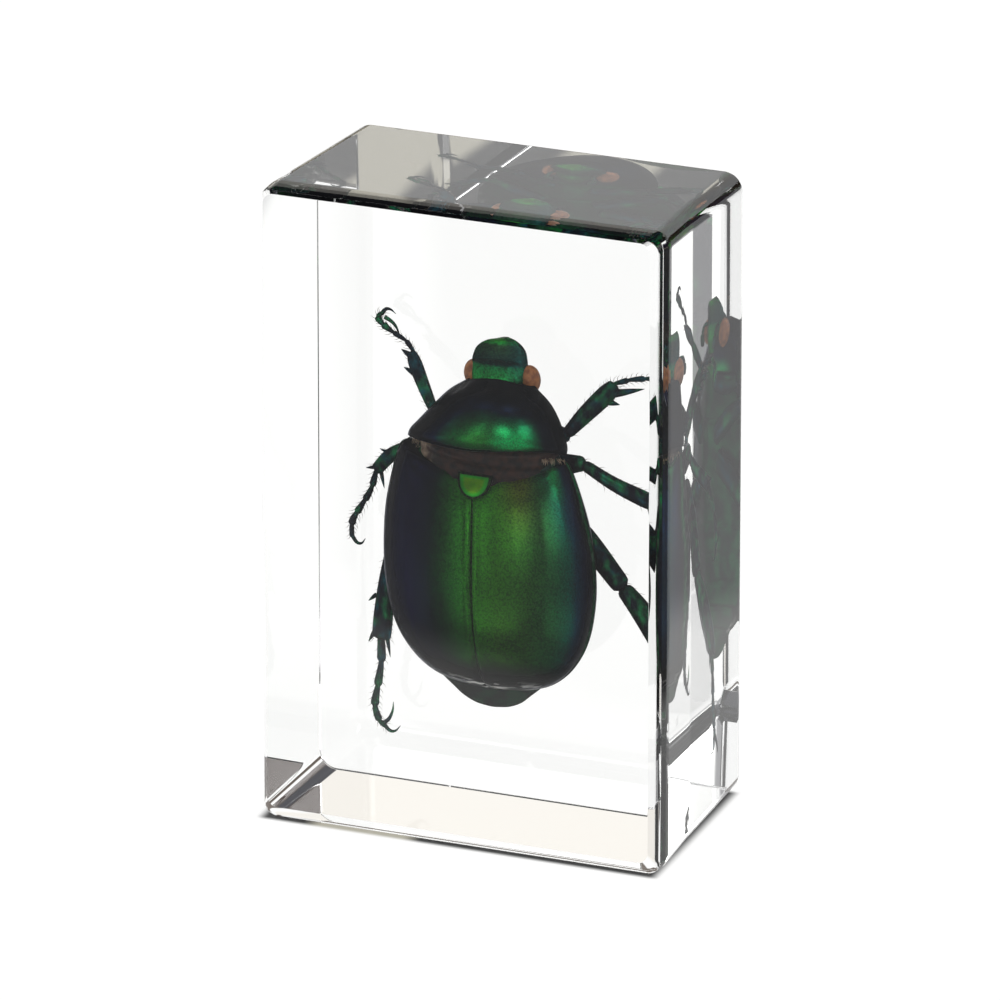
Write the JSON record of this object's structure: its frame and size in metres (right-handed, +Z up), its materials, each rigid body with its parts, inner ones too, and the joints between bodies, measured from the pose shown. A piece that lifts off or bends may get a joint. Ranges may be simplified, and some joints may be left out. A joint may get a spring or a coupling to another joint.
{
  "type": "insect in resin block",
  "caption": "Green chafer beetle with its legs spread, sealed in a clear cast resin block with tapered sides and rounded edges.",
  "frame": {"origin": "centre of the bounding box on the ground under the standing block", "axes": "+Z up along the block's height and towards the beetle's head, -Y out of the large front face that the beetle's back shows through, +X to the viewer's right"},
  "size_m": [0.0284, 0.017, 0.0439],
  "materials": {
    "clear_resin": "clear polished casting",
    "beetle_shell": "glossy metallic green insect shell turning navy at the sides"
  },
  "bodies": {
    "root": {"resin_front": "clear_resin", "resin_back": "clear_resin", "beetle": "beetle_shell"}
  },
  "joints": []
}
